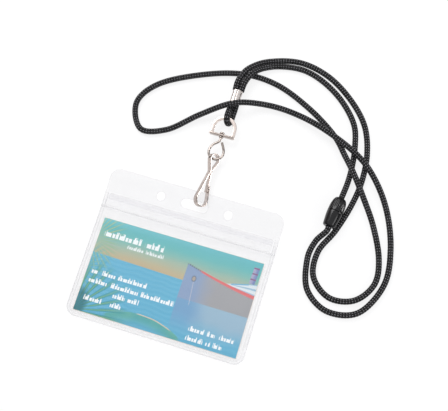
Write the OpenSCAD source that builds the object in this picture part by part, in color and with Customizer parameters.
// Neck lanyard with a breakaway barrel, a swivel hook and a resealable badge holder.
// It lies on a table. The origin is the middle of the badge holder's back face,
// +X runs along the holder's long edge, +Y towards the hook and +Z up from the table.

/* [Badge holder] */
// Width of the holder
holder_w = 105; // [90:1:130]
// Height of the holder, measured along the sheet
holder_h = 89; // [80:1:110]
// Thickness of one vinyl sheet
sheet_t = 0.5; // [0.3:0.1:0.6]
// Radius of the holder's outer corners
holder_corner = 6; // [3:0.5:9]
// Width of the welded border round the pocket
weld_w = 2.2; // [1.6:0.1:3.4]
// Room between the two sheets of the pocket
pocket_gap = 1; // [0.9:0.1:1.6]
// Angle at which the punched header rises off the table to the hook
header_lift = 10.5; // [8:0.5:12]
// Radius of the bend below the header
bend_r = 30; // [20:1:40]
// Length of the header above the bend
header_l = 23; // [22:0.5:30]

/* [Header holes] */
// Length of the slot, end to end
slot_l = 16; // [13:0.5:20]
// Width of the slot
slot_w = 5.5; // [5:0.5:7]
// Band of sheet left between the slot and the header's top edge
band_w = 6; // [4.5:0.1:7.5]
// Diameter of the two chain holes
hole_d = 5.2; // [4:0.2:6]
// Distance between the two chain holes
hole_span = 40.8; // [32:0.2:56]

/* [Zip closure] */
// Height of the zip band above the bend, to the top of the lip
zip_top = 8; // [7:0.5:9]
// Distance from the bend to the lower zip rib
rib_low = 4.6; // [4:0.2:5]
// Distance between the two zip ribs
rib_gap = 1.7; // [1.6:0.1:2]
// Width of one rib
rib_w = 0.6; // [0.5:0.1:0.7]
// Side clearance of a rib in its groove
rib_clear = 0.15; // [0.12:0.01:0.2]

/* [Badge card] */
// Width of the card
card_w = 96.5; // [80:0.5:98]
// Height of the card
card_h = 56; // [50:0.5:56]
// Thickness of the card
card_t = 0.6; // [0.3:0.1:0.7]
// Gap between the card's lower edge and the weld
card_rest = 0.6; // [0.3:0.1:2]

/* [Snap hook] */
// Width of the spring strip
strip_w = 3; // [2.5:0.1:3.4]
// Thickness of the spring strip
strip_t = 0.6; // [0.5:0.05:0.7]
// Radius of the bow, to the middle of the strip
bow_r = 4; // [3.8:0.1:4.4]
// Radius of the small top loop, to the middle of the strip
top_loop_r = 3.2; // [3:0.1:3.6]
// Distance from the bow's centre to the waist
bow_to_waist = 17.7; // [16:0.5:20]
// Distance from the waist to the top loop's centre
waist_to_top = 7.5; // [7:0.5:9]
// Roll of the hook about its long axis
hook_roll = 45; // [42:1:50]

/* [Swivel and D-ring] */
// Diameter of the swivel's wire
wire_d = 1.5; // [1.2:0.1:1.6]
// Radius of the wire eye, to the middle of the wire
eye_r = 4.4; // [4.2:0.1:5]
// Running clearance of the stem in the D-ring's hole
stem_clear = 0.07; // [0.02:0.01:0.1]
// Outer width of the D-ring
ring_w = 15; // [14:0.5:18]
// Width of the D-ring's flat band
ring_band = 1.8; // [1.6:0.1:2]
// Thickness of the D-ring's flat band
ring_t = 1.3; // [1:0.1:1.4]
// Length of the D-ring's straight sides, from the bar to the arc
ring_side = 4; // [3:0.5:6]
// Depth of the drilled bar
bar_depth = 3.4; // [3:0.1:4]

/* [Cord and crimp] */
// Diameter of the braided cord
cord_d = 3.2; // [2.6:0.1:3.2]
// Length of the folded crimp
crimp_l = 9; // [8:0.5:10]
// Wall of the crimp
crimp_wall = 0.45; // [0.3:0.05:0.6]

/* [Breakaway barrel] */
// Largest diameter of the barrel, at the seam
barrel_d = 9.2; // [7.6:0.1:9.2]
// Length of the plug half outside the seam
plug_l = 8.5; // [8:0.5:10]
// Length of the socket half
socket_l = 9.5; // [9:0.5:11]
// Diameter of the plug's prong
prong_d = 5.2; // [5:0.1:5.4]
// Length of the plug's prong
prong_l = 5.2; // [4.5:0.1:5.4]
// Running clearance of the prong in the socket
prong_clear = 0.1; // [0.06:0.01:0.1]
// Diameter of the knots on the cord's ends
knot_d = 4; // [3.8:0.1:4.2]

/* [Hidden] */
$fn = 64;

cut = 1;                                   // overshoot of a cutting tool
end_play = 0.12;                           // gap left where two parts run against each other

// Holder: the pocket lies flat, then the sheet bends up into the header.
front_z = sheet_t + pocket_gap;
inner_w = holder_w - 2 * (weld_w + sheet_t);
bend_l = bend_r * header_lift * PI / 180;
flat_l = holder_h - bend_l - header_l;
holder_y = -holder_h / 2;                  // the holder's lower edge
fold_y = holder_y + flat_l;                // where the bend begins
header_y = fold_y + bend_r * sin(header_lift);
header_z = bend_r * (1 - cos(header_lift));
bend_steps = 6;
slot_s = header_l - band_w - slot_w / 2;   // slot centre, up the header
lip_clear = 0.3;                           // lip to side weld
lip_start = 0.15;                          // lip to the fixed part of the front sheet
groove_roof = 0.1;                         // rib top to groove roof
rib_base = 0.25;                           // thickness of the zip's tapes
card_lift = 0.15;                          // card to back sheet

// Chain line: hook, swivel and D-ring hang on one line above the table.
chain_x = 2.6;
chain_z = 4.4;
hook_below_slot = 2.1;                     // slack between the slot's edge and the bow
slot_edge_y = header_y + (slot_s + slot_w / 2) * cos(header_lift);
bow_y = slot_edge_y - hook_below_slot + bow_r - strip_t / 2;
waist_y = bow_y + bow_to_waist;
top_loop_y = waist_y + waist_to_top;
eye_play = 0.2;                            // wire above the top loop's centre
eye_y = top_loop_y + eye_play + eye_r;
neck_l = 6.25;                              // from the eye's wire to the bar
bar_t = 1.3;
bar_y = eye_y + eye_r + neck_l;
ring_r = ring_w / 2;
ring_arc_y = bar_y + bar_t / 2 + ring_side;
band_y = ring_arc_y + ring_r - ring_band / 2;   // middle of the band where the cord hangs
collar_r = 1.3;
collar_t = 0.8;
head_r = 1.4;
head_t = 1.15;

// Hook: the strip's two legs meet at a waist, side by side.
waist_x = strip_t / 2 + 0.1;
nose_l = 8.5;                              // height of the nose above the bow's tangent
gate_gap = 0.15;
gate_end = 4;                              // how far the gate reaches past the nose's tip
bow_leg_angle = tangent_angle(bow_r, bow_to_waist);
top_leg_angle = tangent_angle(top_loop_r, waist_to_top);
arc_step = 4;                              // degrees between the points of an arc
bow_tangent = [bow_r * cos(bow_leg_angle), bow_y + bow_r * sin(bow_leg_angle)];
nose_dir = [waist_x, waist_y] - bow_tangent;
nose_tip = bow_tangent + nose_dir * nose_l / norm(nose_dir);
gate_pivot = [waist_x, waist_y - strip_t - gate_gap];
gate_pass = nose_tip - [strip_t + gate_gap + 0.1, 0];
gate_dir = (gate_pass - gate_pivot) / norm(gate_pass - gate_pivot);
gate_tip = gate_pass + gate_dir * gate_end;

// Crimp and the cord's loop through the D-ring.
crimp_x = 3.6;
crimp_z = 3.4;
crimp_gap = 9.8;                           // from the D-ring's band to the crimp
crimp_y = band_y + crimp_gap;
loop_d = 3;                                // the cord is pulled thin round the D-ring
pinch_r = 1.4;
pinch_x = 1.15;
seam_w = 0.25;

// Breakaway barrel, lying beside the long strand.
barrel_x = 78.35;
barrel_y = 54.3;
barrel_z = 5;
barrel_lean = 8;
cord_hole_r = cord_d / 2 + 0.1;
knot_room = 0.4;
prong_wall = 0.55;
socket_depth = prong_l + 0.4;
plug_end = barrel_point(plug_l);
socket_end = barrel_point(-socket_l);
barrel_way = [sin(barrel_lean), cos(barrel_lean), 0];
crimp_way = [0, 1, 0];

// The long strand: from the crimp, round the outside, down beside the barrel, round the
// lower loop, back over both strands, round the left loop and back to the barrel's socket.
cord_side = 1.65;                          // strands lie side by side at the crimp
long_route = [
    [crimp_x - cord_side, crimp_y + crimp_l, crimp_z], [2.2, 117, 4.8], [6, 125.5, 4.7],
    [16, 134, 1.8], [34, 138.4, 1.6], [52, 134.6, 1.6], [68, 124.5, 1.6], [80.5, 111, 1.6],
    [86.6, 95, 1.6], [88.2, 78, 1.6], [86.3, 62, 1.6], [81.4, 44.5, 1.6], [75.2, 30, 1.6],
    [76.6, 15.5, 1.6], [88, 6.5, 1.6], [102, 9, 1.6], [110.4, 21, 1.6], [109, 36, 1.6],
    [101, 53.5, 1.8], [91.5, 67, 4.6], [83, 78.4, 5.7], [75, 88.5, 3.6], [65, 100, 1.6],
    [46, 112.2, 1.6], [24, 121, 1.6], [2, 121.8, 1.6], [-22, 114.2, 1.6], [-44, 101.8, 1.6],
    [-53, 87, 1.6], [-45.5, 71.9, 1.6], [-30, 75.8, 1.6], [-14, 89.4, 3.4], [2.8, 99.8, 8.1],
    [18, 105.6, 4], [36, 106.3, 2.8], [57, 101, 5.5], [80, 91.4, 5.3], [94, 80.4, 4.8],
    [106, 64.5, 1.6], [114, 43, 1.6], [115.6, 22, 1.6], [106, 3, 1.6], [89, -1.2, 1.6],
    [75.2, 7.5, 1.6], [70.6, 24, 1.6], [72.2, 35, 2.6], barrel_point(-socket_l - 3), socket_end];
// The short strand: from the crimp, inside the long one, to the barrel's plug.
short_route = [
    [crimp_x + cord_side, crimp_y + crimp_l, crimp_z], [5.9, 116, 4.8], [8.6, 122.3, 5.3],
    [14, 128.4, 3], [24, 133, 1.6], [38, 134.2, 1.6], [52, 129.6, 1.6], [65, 120.8, 1.6],
    [75, 109, 1.6], [79, 96, 1.6], [80.5, 84, 1.6], [80.6, 73.5, 2.5], plug_end];
// The loop through the D-ring, over the band, round it and back under it.
loop_side = 1.55;
loop_route = [
    [crimp_x - loop_side, crimp_y, crimp_z], [crimp_x - 1.5, band_y + 6.3, 4.4],
    [crimp_x - 1.3, band_y + 3, 6.5], [crimp_x - 1.1, band_y, 7.3],
    [crimp_x - 0.7, band_y - 2.1, 6.45], [crimp_x, band_y - 2.9, chain_z],
    [crimp_x + 0.7, band_y - 2.1, 2.35], [crimp_x + 1.1, band_y, 1.5],
    [crimp_x + 1.3, band_y + 3, 1.7], [crimp_x + 1.5, band_y + 6.3, 2.6],
    [crimp_x + loop_side, crimp_y, crimp_z]];
long_rings = 80;
short_rings = 16;
loop_rings = 26;
cord_sides = 8;

// Angle, above the horizontal, at which a line from the waist touches a circle.
function tangent_angle(r, rise) =
    let (d = norm([waist_x, rise]))
    atan2(rise, waist_x) - acos(r / d);

// A point on the barrel's axis, a distance up from the seam.
function barrel_point(up) =
    [barrel_x + up * sin(barrel_lean), barrel_y + up * cos(barrel_lean), barrel_z];

// Smooth curve through the route's points, at a place counted in points.
function on_curve(route, place) =
    let (n = len(route),
         i = min(floor(place), n - 2),
         t = place - i,
         p0 = route[max(i - 1, 0)],
         p1 = route[i],
         p2 = route[i + 1],
         p3 = route[min(i + 2, n - 1)],
         p = 0.5 * (2 * p1 + (p2 - p0) * t + (2 * p0 - 5 * p1 + 4 * p2 - p3) * t * t
             + (3 * p1 - p0 - 3 * p2 + p3) * t * t * t))
    p;

// Centres of the rings, kept off the table by the cord's radius.
function ring_centres(route, rings, r) =
    [for (i = [0 : rings - 1])
        let (p = on_curve(route, i * (len(route) - 1) / (rings - 1)))
        [p.x, p.y, max(p.z, r)]];

function unit(v) = v / norm(v);

// A closed tube of eight-sided rings along a route, whose end faces are square to what they
// meet. The rings are turned to a steady side.
module cord_tube(route, rings, r, steady, start_way, end_way) {
    centres = ring_centres(route, rings, r);
    points = [for (i = [0 : rings - 1])
        let (way = i == 0 ? start_way : i == rings - 1 ? end_way
                 : unit(centres[i + 1] - centres[i - 1]),
             side = unit(cross(way, steady)),
             rise = cross(side, way))
        for (k = [0 : cord_sides - 1])
            centres[i] + r * (cos(k * 360 / cord_sides) * side + sin(k * 360 / cord_sides) * rise)];
    walls = [for (i = [0 : rings - 2], k = [0 : cord_sides - 1])
        let (next = (k + 1) % cord_sides, low = i * cord_sides, high = low + cord_sides)
        [low + k, high + k, high + next, low + next]];
    start_cap = [[for (k = [0 : cord_sides - 1]) k]];
    end_cap = [[for (k = [cord_sides - 1 : -1 : 0]) (rings - 1) * cord_sides + k]];
    polyhedron(points, concat(start_cap, walls, end_cap));
}

// ---- Placing ----

module on_header() {
    translate([0, header_y, header_z]) rotate([header_lift, 0, 0]) children();
}

module on_hook() {
    translate([chain_x, 0, chain_z]) rotate([0, hook_roll, 0]) children();
}

module on_barrel() {
    translate([barrel_x, barrel_y, barrel_z]) rotate([0, 0, -barrel_lean])
        rotate([-90, 0, 0]) children();
}

// ---- Cord ----

module neck_cord_long() {
    color("#1c1c1f") cord_tube(long_route, long_rings, cord_d / 2, [0, 0, 1],
                               crimp_way, barrel_way);
}

module neck_cord_short() {
    color("#1c1c1f") cord_tube(short_route, short_rings, cord_d / 2, [0, 0, 1],
                               crimp_way, -barrel_way);
}

module ring_loop() {
    color("#1c1c1f") cord_tube(loop_route, loop_rings, loop_d / 2, [1, 0, 0],
                               -crimp_way, crimp_way);
}

// Outline of two cords pressed together side by side, grown by a wall.
module pinch_outline(grow) {
    for (side = [-1, 1]) translate([side * pinch_x, 0]) circle(r = pinch_r + grow);
    square([2 * pinch_x, 2 * (pinch_r + grow)], center = true);
}

module in_crimp() {
    translate([crimp_x, crimp_y, crimp_z]) rotate([-90, 0, 0])
        linear_extrude(crimp_l) children();
}

module pinched_cord() {
    color("#1c1c1f") in_crimp() pinch_outline(0);
}

module cord_crimp() {
    color("#c9c6c4") in_crimp() difference() {
        pinch_outline(crimp_wall);
        pinch_outline(0);
        translate([-pinch_x, -pinch_r - crimp_wall]) square([seam_w, 3 * crimp_wall], center = true);
    }
}

// ---- Breakaway barrel ----

module barrel_plug() {
    color("#161618") on_barrel() rotate_extrude() difference() {
        union() {
            polygon([[0, 0], [barrel_d / 2, 0], [barrel_d / 2 - 0.3, plug_l * 0.45],
                     [barrel_d / 2 - 1.2, plug_l * 0.85], [barrel_d / 2 - 2, plug_l], [0, plug_l]]);
            translate([0, -prong_l]) square([prong_d / 2, prong_l]);
        }
        translate([0, -prong_l - cut]) square([prong_d / 2 - prong_wall, prong_l + 2 * cut]);
        square([(knot_d + knot_room) / 2, knot_d + knot_room]);
        square([cord_hole_r, plug_l + cut]);
    }
}

module barrel_socket() {
    color("#161618") on_barrel() rotate_extrude() difference() {
        polygon([[0, -end_play], [barrel_d / 2, -end_play], [barrel_d / 2, -1.5],
                 [barrel_d / 2 - 0.9, -socket_l + 0.8], [barrel_d / 2 - 1.6, -socket_l],
                 [0, -socket_l]]);
        translate([0, -socket_depth]) square([prong_d / 2 + prong_clear, socket_depth + cut]);
        translate([0, -socket_l + 1.3]) square([(knot_d + knot_room) / 2, socket_l]);
        translate([0, -socket_l - cut]) square([cord_hole_r, socket_l]);
    }
}

// A knot on the cord's end, with the cord's last few millimetres.
module end_knot(knot_at, end_at) {
    translate([0, 0, knot_at]) sphere(d = knot_d);
    translate([0, 0, min(knot_at, end_at)]) cylinder(d = cord_d, h = abs(end_at - knot_at));
}

module plug_knot() {
    color("#1c1c1f") on_barrel() end_knot(knot_d / 2 + 0.2, plug_l);
}

module socket_knot() {
    color("#1c1c1f") on_barrel() end_knot(-socket_l + 1.5 + knot_d / 2, -socket_l);
}

// ---- D-ring and swivel ----

module d_ring() {
    color("#d8d2cf") translate([chain_x, 0, chain_z]) difference() {
        union() {
            translate([0, ring_arc_y, 0]) rotate_extrude(angle = 180)
                translate([ring_r - ring_band, -ring_t / 2]) square([ring_band, ring_t]);
            for (side = [-1, 1])
                translate([side * (ring_r - ring_band / 2), (bar_y + ring_arc_y) / 2, 0])
                    cube([ring_band, ring_arc_y - bar_y, ring_t], center = true);
            translate([0, bar_y, 0]) cube([ring_w, bar_t, bar_depth], center = true);
        }
        translate([0, bar_y - bar_t, 0]) rotate([-90, 0, 0])
            cylinder(r = wire_d / 2 + stem_clear, h = 2 * bar_t);
    }
}

module swivel_eye() {
    bar_low = bar_y - bar_t / 2;
    bar_high = bar_y + bar_t / 2;
    free_gap = 28;                         // angle left open beside the stem
    color("#d8d2cf") translate([chain_x, 0, chain_z]) {
        translate([0, eye_y, 0]) rotate([0, 0, 90]) rotate_extrude(angle = 360 - free_gap)
            translate([eye_r, 0]) circle(d = wire_d);
        translate([0, eye_y + eye_r, 0]) rotate([-90, 0, 0])
            cylinder(d = wire_d, h = bar_high + end_play + head_t / 2 - eye_y - eye_r);
        translate([0, bar_low - end_play - collar_t, 0]) rotate([-90, 0, 0])
            cylinder(r = collar_r, h = collar_t);
        translate([0, bar_high + end_play, 0]) rotate([-90, 0, 0])
            cylinder(r = head_r, h = head_t);
    }
}

// ---- Snap hook ----

// Points along an arc, at every few degrees.
function arc_points(centre_y, r, from, to) =
    let (steps = ceil(abs(to - from) / arc_step))
    [for (i = [0 : steps])
        let (a = from + (to - from) * i / steps)
        [r * cos(a), centre_y + r * sin(a)]];

// Normal of a path at one of its points, turned to the left and stretched at a corner.
function path_normal(path, i) =
    let (n = len(path),
         before = i > 0 ? unit(path[i] - path[i - 1]) : unit(path[1] - path[0]),
         after = i < n - 1 ? unit(path[i + 1] - path[i]) : before,
         mid = unit(before + after))
    [-mid.y, mid.x] / (mid * after);

// A strip of even thickness that stands on edge along a path.
module strip_along(path) {
    n = len(path);
    left = [for (i = [0 : n - 1]) path[i] + path_normal(path, i) * strip_t / 2];
    right = [for (i = [n - 1 : -1 : 0]) path[i] - path_normal(path, i) * strip_t / 2];
    translate([0, 0, -strip_w / 2]) linear_extrude(strip_w) polygon(concat(left, right));
}

module hook_strip() {
    nose = [nose_tip];
    bow = arc_points(bow_y, bow_r, bow_leg_angle, -180 - bow_leg_angle);
    top = arc_points(top_loop_y, top_loop_r, 180 + top_leg_angle, -top_leg_angle);
    color("#d8d2cf") on_hook()
        strip_along(concat(nose, bow, [[-waist_x, waist_y]], top, [[waist_x, waist_y]]));
}

module hook_gate() {
    color("#cbb9ae") on_hook() {
        strip_along([gate_pivot, gate_tip]);
        translate([gate_pivot.x, gate_pivot.y, -strip_w / 2]) cylinder(d = strip_t, h = strip_w);
    }
}

// ---- Badge holder ----

// One face of a sheet, seen from the side: flat, round the bend and on up the header.
function sheet_side(z, from, header_end) =
    concat([[holder_y + from, z]],
        [for (i = [0 : bend_steps])
            let (a = header_lift * i / bend_steps, r = bend_r - z)
            [fold_y + r * sin(a), bend_r - r * cos(a)]],
        header_end > 0 ? [[header_y - z * sin(header_lift) + header_end * cos(header_lift),
                           header_z + z * cos(header_lift) + header_end * sin(header_lift)]] : []);

// A strip of sheet that runs up the flat pocket, round the bend and on up the header.
module sheet_run(x, w, z, t, from, header_end) {
    low = sheet_side(z, from, header_end);
    high = sheet_side(z + t, from, header_end);
    translate([x - w / 2, 0, 0]) rotate([90, 0, 90]) linear_extrude(w)
        polygon(concat(low, [for (i = [len(high) - 1 : -1 : 0]) high[i]]));
}

// What is trimmed off a square corner to round it; dir points to the corner.
module corner_trim(dir) {
    scale([dir.x, dir.y, 1]) difference() {
        translate([-holder_corner, -holder_corner, -cut])
            cube([holder_corner + cut, holder_corner + cut, 4 * cut]);
        translate([-holder_corner, -holder_corner, -2 * cut]) cylinder(r = holder_corner, h = 6 * cut);
    }
}

module lower_corners() {
    for (side = [-1, 1]) translate([side * holder_w / 2, holder_y, 0]) corner_trim([side, -1]);
}

module header_holes() {
    slot_half = (slot_l - slot_w) / 2;
    for (side = [-1, 1]) {
        translate([side * hole_span / 2, slot_s, -cut]) cylinder(d = hole_d, h = 3 * cut);
        translate([side * slot_half, slot_s, -cut]) cylinder(d = slot_w, h = 3 * cut);
    }
    translate([-slot_half, slot_s - slot_w / 2, -cut]) cube([2 * slot_half, slot_w, 3 * cut]);
}

module holder_back() {
    color([0.93, 0.94, 0.96, 0.5]) difference() {
        sheet_run(0, holder_w, 0, sheet_t, 0, header_l);
        lower_corners();
        on_header() {
            header_holes();
            for (side = [-1, 1]) translate([side * holder_w / 2, header_l, 0]) corner_trim([side, 1]);
        }
    }
}

module holder_front() {
    wall_x = (inner_w + sheet_t) / 2;
    color([0.93, 0.94, 0.96, 0.4]) difference() {
        union() {
            sheet_run(0, inner_w + 2 * sheet_t, front_z, sheet_t, weld_w, 0);
            for (side = [-1, 1]) {
                sheet_run(side * (holder_w - weld_w) / 2, weld_w, sheet_t, sheet_t, 0, zip_top);
                sheet_run(side * wall_x, sheet_t, sheet_t, front_z, weld_w, zip_top);
            }
            translate([-holder_w / 2, holder_y, sheet_t]) cube([holder_w, weld_w, sheet_t]);
            translate([-wall_x, holder_y + weld_w, sheet_t]) cube([2 * wall_x, sheet_t, front_z]);
        }
        lower_corners();
    }
}

module pocket_lip() {
    lip_w = inner_w - 2 * lip_clear;
    color([0.9, 0.91, 0.96, 0.5]) on_header()
        translate([-lip_w / 2, lip_start, front_z]) cube([lip_w, zip_top - lip_start, sheet_t]);
}

module zip_ribs() {
    zip_w = inner_w - 2 * lip_clear;
    rib_top = front_z - rib_base - groove_roof;
    color([0.85, 0.86, 0.94, 0.7]) on_header() {
        translate([-zip_w / 2, rib_low - rib_w, sheet_t])
            cube([zip_w, rib_gap + 3 * rib_w, rib_base]);
        for (i = [0, 1])
            translate([-zip_w / 2, rib_low + i * rib_gap, sheet_t])
                cube([zip_w, rib_w, rib_top - sheet_t]);
    }
}

module zip_grooves() {
    zip_w = inner_w - 2 * lip_clear;
    cheek = 0.35;
    block_low = rib_low - rib_clear - cheek;
    block_l = rib_gap + rib_w + 2 * (rib_clear + cheek);
    floor_z = sheet_t + rib_base + groove_roof;
    color([0.82, 0.84, 0.94, 0.7]) on_header() difference() {
        translate([-zip_w / 2, block_low, floor_z]) cube([zip_w, block_l, front_z - floor_z]);
        for (i = [0, 1])
            translate([-zip_w / 2 - cut, rib_low + i * rib_gap - rib_clear, floor_z - cut])
                cube([zip_w + 2 * cut, rib_w + 2 * rib_clear, front_z - rib_base - floor_z + cut]);
    }
}

module badge_card() {
    color("#2f7f9e")
        translate([-card_w / 2, holder_y + weld_w + sheet_t + card_rest, sheet_t + card_lift])
            cube([card_w, card_h, card_t]);
}

neck_cord_long();
neck_cord_short();
ring_loop();
pinched_cord();
cord_crimp();
barrel_socket();
barrel_plug();
socket_knot();
plug_knot();
d_ring();
swivel_eye();
hook_strip();
hook_gate();
holder_back();
holder_front();
pocket_lip();
zip_ribs();
zip_grooves();
badge_card();
